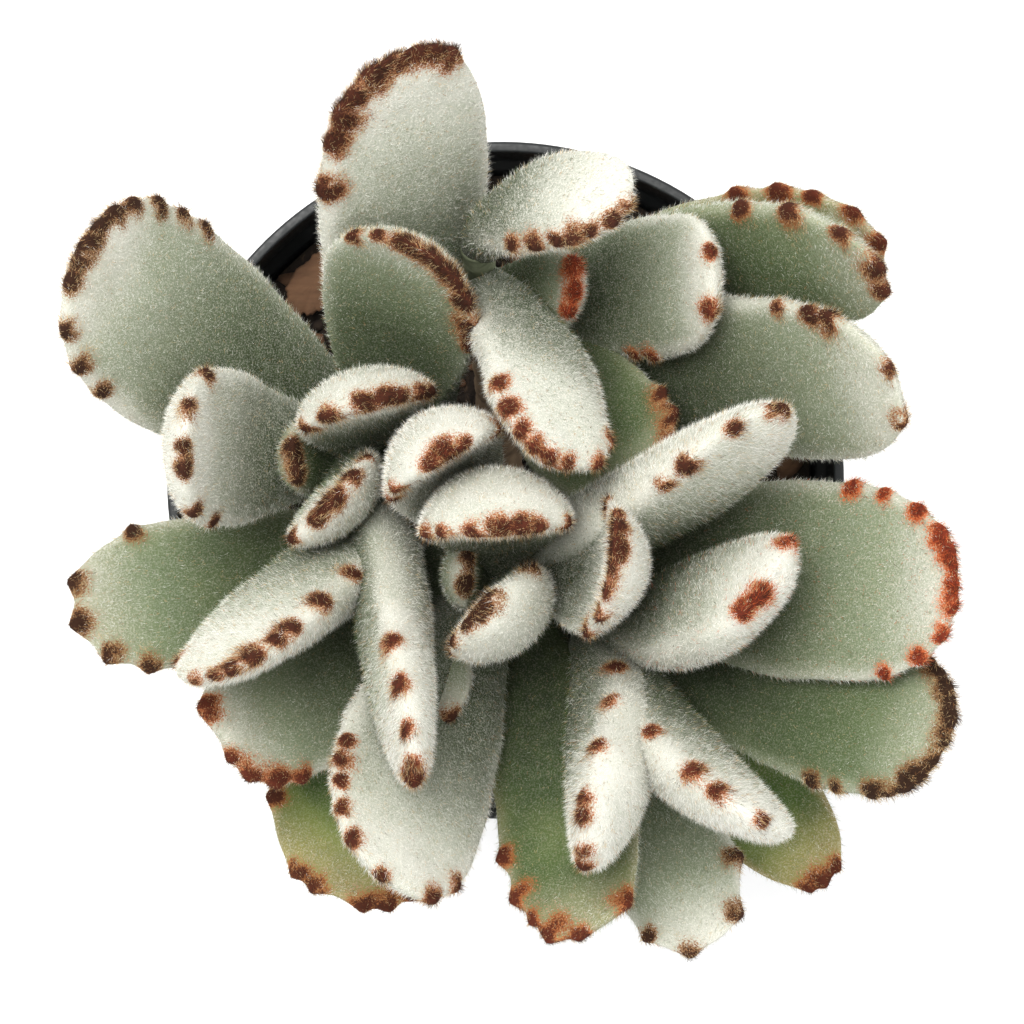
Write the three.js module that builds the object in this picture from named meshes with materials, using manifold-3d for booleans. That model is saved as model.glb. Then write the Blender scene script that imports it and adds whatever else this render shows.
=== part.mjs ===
import * as THREE from 'three';
import { mergeVertices } from 'three/addons/utils/BufferGeometryUtils.js';
import Module from 'manifold-3d';

// A panda plant in a round nursery pot. Millimetres, +Z up, pot standing on z = 0.

// ---- driving dimensions ----
const POT_HEIGHT = 80;
const POT_RIM_DIAMETER = 90;
const POT_BASE_DIAMETER = 64;
const POT_WALL = 1.2;
const POT_FLOOR = 1.6;
const COLLAR_HEIGHT = 12;
const COLLAR_STEP = 1.4;
const SOIL_DROP = 12;
const SOIL_CROWN = 1.5;
const SOIL_EDGE_DIP = 0.8;
const DRAIN_HOLE_DIAMETER = 7;
const DRAIN_HOLE_COUNT = 8;
const STEM_RADIUS = 3.2;
const STEM_TAPER = 0.62;
const STEM_DEPTH_IN_SOIL = 24;
const TRUNK_FOOT = [0.5, -4.5];
const TRUNK_FOOT_SWELL = 1.1;
const TRUNK_TOP_SWELL = 1.35;
const START_CAP = 0.5;
const END_CAP = 0.8;
const LEAF_SCALE = 1.0;
const LEAF_THICKNESS_SCALE = 1.0;
const BASE_CHAMFER = 1;
const LIP_CHAMFER = 0.4;
const HOLE_RING_SHARE = 0.68;
const CHIP_SIZE = 9;
const CHIP_THICKNESS_SHARE = 0.32;

// ---- clearances and fineness ----
const GAP = 0.3;
const TRIM_GAP = 0.35;
const WELD = 1e-4;
const POT_SIDES = 48;
const HOLE_SIDES = 12;
const STEM_SIDES = 8;
const LEAF_SIDES = 8;
const LEAF_LOWER_RINGS = 4;
const LEAF_UPPER_RINGS = 4;

const SOIL_TOP = POT_HEIGHT - SOIL_DROP;

// ---- shoots: points [x, y, rise above the soil]; the first point is buried in the trunk ----
const SHOOTS = {
  middle: [[0, -6, -8], [0, -9, 17], [-0.5, -11.5, 32], [-0.5, -12, 46]],
  north: [[0, -4, -4], [-1.5, 14, 17], [-2.5, 21, 27], [-3, 25, 36], [-3.5, 29, 46]],
  west: [[0, -5, -2], [-9, 0, 18], [-16, 2.5, 28], [-19.5, 3, 37]],
  east: [[0, -7, 0], [6, -14, 20], [11, -19, 32], [11.5, -19.5, 37]],
};

// ---- leaves, inner and upper ones first; a leaf gives way to the ones listed before it ----
// shoot, rise of the foot, heading, lift, length, width, thickness, roll, bow, cup, twist
const LEAVES = [
  ['middle_leaf_01', 'middle', 42, 94, 79, 30, 18, 8.5, 0, -4, 0.2, 0],
  ['middle_leaf_02', 'middle', 40, 10, 67, 34, 15.5, 6.5, -20, -5, 0.3, 0],
  ['middle_leaf_03', 'middle', 38, 114, 64, 35, 15.5, 8, 8, -7, 0.25, 0],
  ['middle_leaf_04', 'middle', 40, -120, 78, 24, 14, 7.5, 77, -3, 0.1, 0],
  ['middle_leaf_05', 'middle', 43, 176, 69, 11, 9, 5, 0, -2, 0.1, 0],
  ['north_leaf_01', 'north', 35, -67, 53, 42, 15.5, 9, -45, 3, -0.05, 0],
  ['north_leaf_02', 'north', 44, 12, 54, 31, 12.5, 7, -35, 4, -0.05, 0],
  ['north_leaf_03', 'north', 35, -10, 50, 18, 10, 5.5, 0, -2, 0.1, 0],
  ['west_leaf_01', 'west', 35, 60, 73, 24, 16.5, 7.5, 46, -2, 0.1, 0],
  ['west_leaf_02', 'west', 35, -115, 68, 23, 13.5, 6.5, 70, -1, 0.1, 0],
  ['west_leaf_03', 'west', 36, -175, 57, 12, 9, 5, 0, -2, 0.1, 0],
  ['east_leaf_01', 'east', 35, 22, 57, 40, 17, 10.5, -60, -1, 0, 0],
  ['middle_leaf_06', 'middle', 34, 31, 45, 52, 18, 9.5, 72, 3, 0.1, 0],
  ['east_leaf_02', 'east', 34, -47, 50, 45, 18, 9.5, -75, -2, 0, 0],
  ['east_leaf_03', 'east', 35, -95, 55, 41, 16, 11, 76, -2, 0, 40],
  ['west_leaf_04', 'west', 30, -80, 47, 54.5, 16, 9, 80, 1, 0, 0],
  ['west_leaf_05', 'west', 12, -142, 57, 65, 20, 9.5, 70, 2, 0, 0],
  ['west_leaf_06', 'west', 30, 79, 51, 40, 20, 7, -14, -4, 0.3, 0],
  ['west_leaf_07', 'west', 30, 177, 57, 38, 19, 8.5, 0, -6, 0.08, 0],
  ['north_leaf_04', 'north', 31, 2, 42, 37, 17.5, 7.5, 0, -6, 0, 0],
  ['middle_leaf_07', 'middle', 30, -110, 43, 52, 22.5, 8, -28, -3, 0, 0],
  ['middle_leaf_08', 'middle', 26, -3, 39, 67, 24, 7, 0, -5, 0.05, 0],
  ['north_leaf_05', 'north', 15, -3, 47, 69, 21.5, 8, 30, -4, 0.1, 0],
  ['east_leaf_04', 'east', 22, -20, 43, 64, 20.5, 7.5, -5, -5, 0.05, 0],
  ['west_leaf_08', 'west', 20, 91, 45, 67.5, 22.5, 8, 28, -2.5, 0, 0],
  ['west_leaf_09', 'west', 24, 146, 45, 60.5, 25, 8, 13, -6, 0, 0],
  ['north_leaf_06', 'north', 27, 3, 37, 58, 17, 7, 35, -7, 0.12, 0],
  ['middle_leaf_09', 'middle', 24, -77, 35, 55, 17.5, 6.5, 12, -4, 0.15, 0],
  ['west_leaf_10', 'west', 26, -79, 35, 39, 12, 6, 0, -3, 0.1, 0],
  ['north_leaf_07', 'north', 29, -49, 35, 36, 18, 6, 0, -2, 0.15, 0],
  ['north_leaf_08', 'north', 22, 13, 28, 55, 18, 6, 30, -7, 0.12, 0],
  ['east_leaf_05', 'east', 21, -67, 26, 52, 16.5, 6, 0, -3, 0.1, 0],
  ['middle_leaf_10', 'middle', 24, -147, 33, 48, 20, 6.5, 0, -3, 0.05, 0],
  ['middle_leaf_11', 'middle', 20, -173, 21, 57, 19, 6, 0, -3, 0.05, 0],
  ['east_leaf_06', 'east', 18, -46, 17, 53, 15, 5.5, 0, -3, 0.1, 0],
  ['middle_leaf_12', 'middle', 19, -118, 21, 51, 25, 6, 0, -3, 0.15, 0],
];

// ---- leaf outline ----
const WIDEST_AT = 0.66;
const FOOT_WIDTH = 0.3;
const SHOULDER_POWER = 1.3;
const TIP_POWER = 2.5;
const FOOT_THICKNESS = 0.72;
const FULLEST_SPAN = 0.9;
const THIN_TIP_POWER = 10;
const UPPER_FACE_SHARE = 0.8;
const LOWER_FACE_SHARE = 1.2;
const CUP_BALANCE = 0.4;

// ---- bark chips lying on the soil ----
// the outline from above as shares of length and width; the slices as shares of thickness and of outline
const CHIP_OUTLINE = [[-0.5, -0.2], [-0.25, -0.5], [0.3, -0.42], [0.5, 0.05], [0.2, 0.5], [-0.35, 0.4]];
const CHIP_SLICES = [[0.1, 0.85], [0.45, 1], [0.9, 0.8]];

// bearing in degrees, distance in from the soil's edge, skew in degrees, length share, width share
const CHIPS = [
  ['bark_chip_1', 134, 4.5, 8, 1.1, 0.65],
  ['bark_chip_2', 149, 9.5, -6, 0.9, 0.6],
  ['bark_chip_3', 62, 6, 12, 0.9, 0.8],
  ['bark_chip_4', -47, 6.5, -10, 1.1, 0.7],
];

const wasm = await Module();
wasm.setup();

function toManifold(geometry) {
  const bare = geometry.index ? geometry.toNonIndexed() : geometry.clone();
  bare.deleteAttribute('normal');
  bare.deleteAttribute('uv');
  const welded = mergeVertices(bare, WELD);
  const mesh = new wasm.Mesh({
    numProp: 3,
    vertProperties: new Float32Array(welded.attributes.position.array),
    triVerts: new Uint32Array(welded.index.array),
  });
  return new wasm.Manifold(mesh);
}

function toGeometry(solid) {
  const mesh = solid.getMesh();
  const geometry = new THREE.BufferGeometry();
  geometry.setAttribute('position', new THREE.BufferAttribute(new Float32Array(mesh.vertProperties), 3));
  geometry.setIndex(new THREE.BufferAttribute(new Uint32Array(mesh.triVerts), 1));
  const flat = geometry.toNonIndexed();
  flat.computeVertexNormals();
  return flat;
}

function largestPiece(solid) {
  const pieces = solid.decompose();
  return pieces.reduce((best, piece) => (piece.volume() > best.volume() ? piece : best));
}

// skins a closed body over rings of points, with a pole point at each end
function skin(rings, firstPole, lastPole) {
  const sides = rings[0].length;
  const points = [firstPole];
  for (const ring of rings) {
    points.push(...ring);
  }
  points.push(lastPole);
  const last = points.length - 1;
  const faces = [];
  for (let j = 0; j < sides; j += 1) {
    const next = (j + 1) % sides;
    faces.push(0, 1 + next, 1 + j);
    for (let i = 0; i + 1 < rings.length; i += 1) {
      const low = 1 + i * sides;
      const high = low + sides;
      faces.push(low + j, low + next, high + next);
      faces.push(low + j, high + next, high + j);
    }
    faces.push(last - sides + j, last - sides + next, last);
  }
  const geometry = new THREE.BufferGeometry();
  const flatPoints = points.flatMap((p) => [p.x, p.y, p.z]);
  geometry.setAttribute('position', new THREE.BufferAttribute(new Float32Array(flatPoints), 3));
  geometry.setIndex(faces);
  return toManifold(geometry);
}

// ---- stem ----
function shootPoints(name) {
  return SHOOTS[name].map(([x, y, rise]) => new THREE.Vector3(x, y, SOIL_TOP + rise));
}

function shootPointAt(name, rise) {
  const points = shootPoints(name);
  const height = SOIL_TOP + rise;
  for (let i = 0; i + 1 < points.length; i += 1) {
    if (height <= points[i + 1].z) {
      const share = (height - points[i].z) / (points[i + 1].z - points[i].z);
      return points[i].clone().lerp(points[i + 1], share);
    }
  }
  return points[points.length - 1].clone();
}

function rod(points, startRadius, endRadius, grow) {
  const rings = [];
  const count = points.length;
  for (let i = 0; i < count; i += 1) {
    const before = points[Math.max(i - 1, 0)];
    const after = points[Math.min(i + 1, count - 1)];
    const along = after.clone().sub(before).normalize();
    const side = new THREE.Vector3(1, 0, 0).addScaledVector(along, -along.x).normalize();
    const up = along.clone().cross(side);
    const radius = startRadius + (endRadius - startRadius) * (i / (count - 1)) + grow;
    const ring = [];
    for (let j = 0; j < STEM_SIDES; j += 1) {
      const turn = (2 * Math.PI * j) / STEM_SIDES;
      const point = points[i].clone();
      point.addScaledVector(side, radius * Math.cos(turn));
      point.addScaledVector(up, radius * Math.sin(turn));
      ring.push(point);
    }
    rings.push(ring);
  }
  const startWay = points[0].clone().sub(points[1]).normalize();
  const endWay = points[count - 1].clone().sub(points[count - 2]).normalize();
  const startPole = points[0].clone().addScaledVector(startWay, (startRadius + grow) * START_CAP);
  const endPole = points[count - 1].clone().addScaledVector(endWay, (endRadius + grow) * END_CAP);
  return skin(rings, startPole, endPole);
}

function stemSolid(grow) {
  const trunkFoot = new THREE.Vector3(...TRUNK_FOOT, SOIL_TOP - STEM_DEPTH_IN_SOIL);
  const trunkTop = shootPoints('middle')[0].clone();
  trunkTop.z = SOIL_TOP;
  const trunkMiddle = trunkFoot.clone().lerp(trunkTop, 0.5);
  const trunk = [trunkFoot, trunkMiddle, trunkTop];
  let solid = rod(trunk, STEM_RADIUS * TRUNK_FOOT_SWELL, STEM_RADIUS * TRUNK_TOP_SWELL, grow);
  for (const name of Object.keys(SHOOTS)) {
    const shoot = rod(shootPoints(name), STEM_RADIUS, STEM_RADIUS * STEM_TAPER, grow);
    solid = solid.add(shoot);
  }
  return solid;
}

// ---- leaves ----
function widthShare(s) {
  if (s < WIDEST_AT) {
    const rise = Math.sin((Math.PI / 2) * (s / WIDEST_AT));
    return FOOT_WIDTH + (1 - FOOT_WIDTH) * rise ** SHOULDER_POWER;
  }
  const past = Math.min((s - WIDEST_AT) / (1 - WIDEST_AT), 1);
  return (1 - past ** TIP_POWER) ** (1 / TIP_POWER);
}

function thicknessShare(s) {
  const fullness = Math.sin(Math.PI * Math.min(s / FULLEST_SPAN, 1));
  const body = FOOT_THICKNESS + (1 - FOOT_THICKNESS) * fullness;
  return body * Math.sqrt(1 - s ** THIN_TIP_POWER);
}

function leafSolid(row, grow) {
  const [, shoot, rise, heading, lift, length, width, thickness, roll, bow, cup, twist] = row;
  const foot = shootPointAt(shoot, rise);
  const h = THREE.MathUtils.degToRad(heading);
  const e = THREE.MathUtils.degToRad(lift);
  const r = THREE.MathUtils.degToRad(roll);
  const reach = length * LEAF_SCALE;
  const chord = new THREE.Vector3(Math.cos(h) * Math.cos(e), Math.sin(h) * Math.cos(e), Math.sin(e));
  const level = new THREE.Vector3(-Math.sin(h), Math.cos(h), 0);
  const raised = chord.clone().cross(level);
  const side = level.clone().multiplyScalar(Math.cos(r)).addScaledVector(raised, Math.sin(r));
  const top = raised.clone().multiplyScalar(Math.cos(r)).addScaledVector(level, -Math.sin(r));
  const stations = [];
  for (let i = 0; i < LEAF_LOWER_RINGS; i += 1) {
    stations.push((WIDEST_AT * i) / LEAF_LOWER_RINGS);
  }
  for (let i = 0; i < LEAF_UPPER_RINGS; i += 1) {
    stations.push(WIDEST_AT + (1 - WIDEST_AT) * Math.sin((Math.PI / 2) * (i / LEAF_UPPER_RINGS)));
  }
  // the spine is the chord bent into a shallow arc whose middle stands off by the bow
  const spineAt = (s) => {
    const point = foot.clone().addScaledVector(chord, s * reach);
    return point.addScaledVector(top, 4 * bow * LEAF_SCALE * s * (1 - s));
  };
  const rings = stations.map((s) => {
    const slope = 4 * bow * LEAF_SCALE * (1 - 2 * s);
    const lean = Math.hypot(slope, reach);
    const normal = chord.clone().multiplyScalar(-slope / lean).addScaledVector(top, reach / lean);
    const turn = THREE.MathUtils.degToRad(twist) * (s - 0.5);
    const across = side.clone().multiplyScalar(Math.cos(turn)).addScaledVector(normal, Math.sin(turn));
    const over = normal.clone().multiplyScalar(Math.cos(turn)).addScaledVector(side, -Math.sin(turn));
    const halfWidth = (width / 2) * LEAF_SCALE * widthShare(s) + grow;
    const halfThickness = (thickness / 2) * LEAF_THICKNESS_SCALE * thicknessShare(s) + grow;
    const ring = [];
    for (let j = 0; j < LEAF_SIDES; j += 1) {
      const angle = (2 * Math.PI * j) / LEAF_SIDES;
      const c = Math.cos(angle);
      const d = Math.sin(angle);
      const share = d > 0 ? UPPER_FACE_SHARE : LOWER_FACE_SHARE;
      const curl = cup * widthShare(s) * halfWidth * (c * c - CUP_BALANCE);
      const point = spineAt(s);
      point.addScaledVector(across, halfWidth * c);
      point.addScaledVector(over, halfThickness * d * share + curl);
      ring.push(point);
    }
    return ring;
  });
  const tip = spineAt(1).addScaledVector(chord, grow);
  const start = foot.clone().addScaledVector(chord, -grow);
  return skin(rings, start, tip);
}

function boxesMeet(a, b) {
  const boxA = a.boundingBox();
  const boxB = b.boundingBox();
  return [0, 1, 2].every((k) => boxA.min[k] < boxB.max[k] && boxB.min[k] < boxA.max[k]);
}

// ---- pot and soil ----
function lathe(points) {
  const profile = points.map(([radius, z]) => new THREE.Vector2(radius, z));
  const geometry = new THREE.LatheGeometry(profile, POT_SIDES);
  geometry.rotateX(Math.PI / 2);
  return toManifold(geometry);
}

const RIM_RADIUS = POT_RIM_DIAMETER / 2;
const BASE_RADIUS = POT_BASE_DIAMETER / 2;
const SHOULDER_RADIUS = RIM_RADIUS - COLLAR_STEP;
const COLLAR_BOTTOM = POT_HEIGHT - COLLAR_HEIGHT;

function wallRadius(z) {
  return BASE_RADIUS + (SHOULDER_RADIUS - BASE_RADIUS) * (z / COLLAR_BOTTOM);
}

function potSolid() {
  const collarInner = RIM_RADIUS - POT_WALL;
  let solid = lathe([
    [0, 0],
    [BASE_RADIUS - BASE_CHAMFER, 0],
    [BASE_RADIUS, BASE_CHAMFER],
    [SHOULDER_RADIUS, COLLAR_BOTTOM],
    [RIM_RADIUS, COLLAR_BOTTOM],
    [RIM_RADIUS, POT_HEIGHT - LIP_CHAMFER],
    [RIM_RADIUS - LIP_CHAMFER, POT_HEIGHT],
    [collarInner, POT_HEIGHT],
    [collarInner, COLLAR_BOTTOM + POT_WALL],
    [SHOULDER_RADIUS - POT_WALL, COLLAR_BOTTOM],
    [wallRadius(POT_FLOOR) - POT_WALL, POT_FLOOR],
    [0, POT_FLOOR],
  ]);
  const holeRadius = DRAIN_HOLE_DIAMETER / 2;
  const hole = new THREE.CylinderGeometry(holeRadius, holeRadius, POT_FLOOR * 3, HOLE_SIDES);
  hole.rotateX(Math.PI / 2);
  const holeRing = BASE_RADIUS * HOLE_RING_SHARE;
  for (let i = 0; i < DRAIN_HOLE_COUNT; i += 1) {
    const turn = (2 * Math.PI * (i + 0.5)) / DRAIN_HOLE_COUNT;
    const cutter = hole.clone();
    cutter.translate(holeRing * Math.cos(turn), holeRing * Math.sin(turn), POT_FLOOR / 2);
    solid = solid.subtract(toManifold(cutter));
  }
  return solid;
}

function soilSide(z) {
  return wallRadius(z) - POT_WALL - 2 * GAP;
}

// the soil's top from the wall inwards: share of the radius, and height above the soil line.
const SOIL_PROFILE = [[1, -SOIL_EDGE_DIP], [0.8, 0], [0.4, SOIL_CROWN * 0.7], [0, SOIL_CROWN]];

function soilHeight(radius) {
  const share = Math.min(radius / soilSide(SOIL_TOP), 1);
  for (let i = 0; i + 1 < SOIL_PROFILE.length; i += 1) {
    const [outer, outerHeight] = SOIL_PROFILE[i];
    const [inner, innerHeight] = SOIL_PROFILE[i + 1];
    if (share >= inner) {
      const mix = (share - inner) / (outer - inner);
      return SOIL_TOP + innerHeight + (outerHeight - innerHeight) * mix;
    }
  }
  return SOIL_TOP + SOIL_CROWN;
}

function soilSolid() {
  const bottom = POT_FLOOR + GAP;
  const top = SOIL_PROFILE.map(([share, height]) => [soilSide(SOIL_TOP) * share, SOIL_TOP + height]);
  return lathe([[0, bottom], [soilSide(bottom), bottom], ...top]);
}

function chipSolid([, bearing, inset, skew, longShare, wideShare]) {
  const radius = soilSide(SOIL_TOP) - inset;
  const around = THREE.MathUtils.degToRad(bearing);
  const long = CHIP_SIZE * longShare;
  const wide = CHIP_SIZE * wideShare;
  const thick = CHIP_SIZE * CHIP_THICKNESS_SHARE;
  const rings = CHIP_SLICES.map(([level, spread]) => {
    return CHIP_OUTLINE.map(([a, b]) => new THREE.Vector3(a * long * spread, b * wide * spread, level * thick));
  });
  const place = new THREE.Matrix4().makeRotationZ(THREE.MathUtils.degToRad(bearing + 90 + skew));
  const rest = soilHeight(radius - wide) + GAP;
  place.setPosition(radius * Math.cos(around), radius * Math.sin(around), rest);
  const poles = [new THREE.Vector3(0, 0, 0), new THREE.Vector3(0, 0, thick)];
  for (const point of [...rings.flat(), ...poles]) {
    point.applyMatrix4(place);
  }
  return skin(rings, poles[0], poles[1]);
}

// ---- assembly ----
const group = new THREE.Group();
group.name = 'potted_panda_plant';

function addPiece(name, solid, colour, roughness) {
  const material = new THREE.MeshStandardMaterial({ color: colour, roughness, metalness: 0 });
  material.name = name;
  const mesh = new THREE.Mesh(toGeometry(solid), material);
  mesh.name = name;
  group.add(mesh);
}

addPiece('pot', potSolid(), 0x17191a, 0.5);
const stemRoom = stemSolid(TRIM_GAP);
addPiece('soil', largestPiece(soilSolid().subtract(stemRoom)), 0x2b2119, 0.95);
addPiece('stem', stemSolid(0), 0x7d6a4c, 0.85);
for (const chip of CHIPS) {
  addPiece(chip[0], chipSolid(chip), 0x8a6440, 0.9);
}

const leafRooms = [];
for (const row of LEAVES) {
  let leaf = leafSolid(row, 0).subtract(stemRoom);
  for (const room of leafRooms) {
    if (boxesMeet(leaf, room)) {
      leaf = leaf.subtract(room);
    }
  }
  leafRooms.push(leafSolid(row, TRIM_GAP));
  addPiece(row[0], largestPiece(leaf), 0x93a288, 0.9);
}

export default group;
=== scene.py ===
# %% [markdown]
# # A panda plant in a nursery pot
# A panda plant is a small succulent. Its thick leaves wear a coat of short white hairs, so they look like
# grey-green felt, and the hairs turn chocolate brown on the teeth round each leaf's tip.
# The measured solids come first: they give every piece its place and size. The lesson then makes each
# piece again the way it really looks, and lays it over its solid.

# %% Tools and the measured solids
import math
import bpy
import numpy as np
from mathutils import Matrix, Vector


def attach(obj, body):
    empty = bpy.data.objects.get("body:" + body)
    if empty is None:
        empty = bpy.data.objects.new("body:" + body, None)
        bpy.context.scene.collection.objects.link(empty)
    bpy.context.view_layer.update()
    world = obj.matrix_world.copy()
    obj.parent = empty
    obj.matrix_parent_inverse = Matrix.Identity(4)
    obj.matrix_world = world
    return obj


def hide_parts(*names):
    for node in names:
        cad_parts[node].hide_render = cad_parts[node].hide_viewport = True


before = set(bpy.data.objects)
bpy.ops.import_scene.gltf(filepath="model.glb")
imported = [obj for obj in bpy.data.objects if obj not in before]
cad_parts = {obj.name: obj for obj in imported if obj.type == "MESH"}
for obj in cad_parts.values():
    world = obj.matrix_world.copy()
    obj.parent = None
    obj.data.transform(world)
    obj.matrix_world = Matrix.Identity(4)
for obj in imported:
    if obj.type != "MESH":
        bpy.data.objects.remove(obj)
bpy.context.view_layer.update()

MM = 0.001

# %% [markdown]
# ## The camera
# The plant is looked at from almost straight above, from half a metre up, with a long lens. That flattens
# the rosette and lets the tallest leaves spread past the pot's rim. A camera that isn't turned looks straight
# down, so it only has to be moved. An orthographic camera would lose the way the upper leaves look bigger.

# %% Camera
EYE_MM = (0.93, -4.26, 500)
LENS_MM = 111.2
SENSOR_MM = 36
NEAREST_M = 0.01
camera_data = bpy.data.cameras.new("camera")
camera_data.lens = LENS_MM
camera_data.sensor_width = SENSOR_MM
camera_data.clip_start = NEAREST_M
camera = bpy.data.objects.new("camera", camera_data)
camera.location = [v * MM for v in EYE_MM]
bpy.context.scene.collection.objects.link(camera)
bpy.context.scene.camera = camera
print("camera", tuple(round(v, 4) for v in camera.location))

# %% [markdown]
# ## Small tools
# Every piece is a mesh made from rows of points in millimetres. Primitives and modifiers could rough the
# shapes out, but rows of points give each outline exactly and are quick to make. Values that change over
# the surface, such as how brown a tooth is, are stored on the points, and the finish reads them there.


# %% Mesh tools
def make_mesh(name, points_mm, faces, slots=None, values=None, unwrap=None):
    # faces is a list of tables of corner numbers, and each table has one number of corners to a face.
    groups = [np.asarray(f, dtype=np.int32) for f in faces]
    corners = np.concatenate([f.ravel() for f in groups])
    sizes = np.concatenate([np.full(len(f), f.shape[1], dtype=np.int32) for f in groups])
    starts = np.concatenate([[0], np.cumsum(sizes)[:-1]]).astype(np.int32)
    mesh = bpy.data.meshes.new(name)
    mesh.vertices.add(len(points_mm))
    mesh.vertices.foreach_set("co", (np.asarray(points_mm) * MM).astype(np.float32).ravel())
    mesh.loops.add(len(corners))
    mesh.loops.foreach_set("vertex_index", corners)
    mesh.polygons.add(len(starts))
    mesh.polygons.foreach_set("loop_start", starts)
    if slots is not None:
        mesh.polygons.foreach_set("material_index", np.asarray(slots, dtype=np.int32))
    mesh.update(calc_edges=True)
    mesh.shade_smooth()
    for key, data in (values or {}).items():
        layer = mesh.attributes.new(key, "FLOAT", "POINT")
        layer.data.foreach_set("value", np.asarray(data, dtype=np.float32).ravel())
    if unwrap is not None:
        layer = mesh.uv_layers.new(name="OFBake")
        layer.data.foreach_set("uv", np.asarray(unwrap, dtype=np.float32).ravel())
    return mesh


def add_piece(name, mesh, materials, nodes=()):
    piece = bpy.data.objects.new(name, mesh)
    bpy.context.scene.collection.objects.link(piece)
    for material in materials:
        mesh.materials.append(material)
    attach(piece, "root")
    if nodes:
        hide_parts(*nodes)
    return piece


def ring_quads(rows, columns):
    # Four-cornered faces between rows of points, where each row is a closed ring.
    i, j = np.meshgrid(np.arange(rows - 1), np.arange(columns), indexing="ij")
    n = (j + 1) % columns
    this_row, next_row = i * columns, (i + 1) * columns
    quads = np.stack([this_row + j, this_row + n, next_row + n, next_row + j], axis=-1)
    return quads.reshape(-1, 4)


def cap_fan(centre, first, columns, underside=False):
    # Triangles from one middle point to the closed ring of points that begins at first.
    j = np.arange(columns)
    n = (j + 1) % columns
    pair = [first + n, first + j] if underside else [first + j, first + n]
    return np.stack([np.full(columns, centre), *pair], axis=-1)


def smooth_step(low, high, value):
    share = np.clip((value - low) / (high - low), 0, 1)
    return share * share * (3 - 2 * share)


def unit(vectors):
    return vectors / np.maximum(np.linalg.norm(vectors, axis=-1, keepdims=True), 1e-9)


# %% [markdown]
# Each finish is one Principled shader fed by a few nodes. Image textures could do it too, but noises and the
# values stored on the points never show a seam. These helpers keep a finish short: one adds a node and wires
# it, and others make a noise, a soft threshold, a mix of two colours, or a bump.


# %% Finish tools
class Finish:
    def __init__(self, name):
        self.material = bpy.data.materials.new(name)
        self.material.use_nodes = True
        self.tree = self.material.node_tree
        self.shader = self.tree.nodes["Principled BSDF"]

    def feed(self, sockets, inputs):
        # A value that comes out of another node is wired in, and any other value is typed in.
        for key, value in inputs.items():
            if hasattr(value, "is_output"):
                self.tree.links.new(value, sockets[key])
            else:
                sockets[key].default_value = value

    def add(self, kind, settings, inputs):
        made = self.tree.nodes.new(kind)
        for key, value in settings.items():
            setattr(made, key, value)
        self.feed(made.inputs, inputs)
        return made

    def value(self, name):
        return self.add("ShaderNodeAttribute", {"attribute_name": name}, {}).outputs["Fac"]

    def noise(self, size_mm, detail=3.0, stretch=None):
        place = self.add("ShaderNodeTexCoord", {}, {}).outputs["Object"]
        if stretch is not None:
            scaled = self.add("ShaderNodeVectorMath", {"operation": "MULTIPLY"}, {0: place, 1: stretch})
            place = scaled.outputs[0]
        inputs = {"Vector": place, "Scale": 1 / (size_mm * MM), "Detail": detail}
        return self.add("ShaderNodeTexNoise", {}, inputs).outputs["Fac"]

    def math(self, operation, a, b):
        return self.add("ShaderNodeMath", {"operation": operation}, {0: a, 1: b}).outputs[0]

    def band(self, value, low, high, out_low=0.0, out_high=1.0):
        limits = {"From Min": low, "From Max": high, "To Min": out_low, "To Max": out_high}
        settings = {"interpolation_type": "SMOOTHSTEP"}
        return self.add("ShaderNodeMapRange", settings, {"Value": value, **limits}).outputs["Result"]

    def mix(self, mask, a, b):
        # The colours are red, green and blue shares, or the output of another node.
        first, second = (c if hasattr(c, "is_output") else (*c, 1) for c in (a, b))
        inputs = {0: mask, 6: first, 7: second}
        return self.add("ShaderNodeMix", {"data_type": "RGBA"}, inputs).outputs[2]

    def bump(self, height, depth_mm, strength):
        inputs = {"Height": height, "Distance": depth_mm * MM, "Strength": strength}
        made = self.add("ShaderNodeBump", {}, inputs)
        self.feed(self.shader.inputs, {"Normal": made.outputs["Normal"]})

    def done(self, colour, roughness):
        self.feed(self.shader.inputs, {"Base Color": colour, "Roughness": roughness})
        return self.material


# %% [markdown]
# ## The pot
# A nursery pot is blown or moulded in thin black polypropylene. Its wall leans outwards, a wider collar
# stiffens the rim so the pots stack, and the rim's lip is rolled over. It could be a cone with a Solidify
# modifier, but then the collar and the lip would be hard to place. Here it is turned from one closed
# outline that runs up the outside, over the lip and down the inside. The sizes come first.

# %% Pot sizes
POT_HEIGHT = 80
RIM_RADIUS = 45
BASE_RADIUS = 32
WALL = 1.2
FLOOR_THICKNESS = 1.6
COLLAR_HEIGHT = 12
COLLAR_STEP = 1.4
SOIL_DROP = 12
CORNER_POINTS = 5
SHOULDER_RADIUS = RIM_RADIUS - COLLAR_STEP
COLLAR_BOTTOM = POT_HEIGHT - COLLAR_HEIGHT
SOIL_TOP = POT_HEIGHT - SOIL_DROP


def wall_radius(z):
    return BASE_RADIUS + (SHOULDER_RADIUS - BASE_RADIUS) * (z / COLLAR_BOTTOM)


def rounded(outline):
    # A row is radius, height and cut. The corner becomes a curve that starts the cut's distance before it.
    out = []
    for k, (x, z, cut) in enumerate(outline):
        if cut == 0:
            out.append((x, z))
            continue
        corner = np.array([x, z])
        before = np.array(outline[k - 1][:2]) - corner
        after = np.array(outline[(k + 1) % len(outline)][:2]) - corner
        start = corner + before / np.linalg.norm(before) * cut
        end = corner + after / np.linalg.norm(after) * cut
        for t in np.linspace(0, 1, CORNER_POINTS):
            out.append(tuple((1 - t) ** 2 * start + 2 * t * (1 - t) * corner + t * t * end))
    return out


print("pot", 2 * RIM_RADIUS, "by", POT_HEIGHT, "mm")

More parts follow.
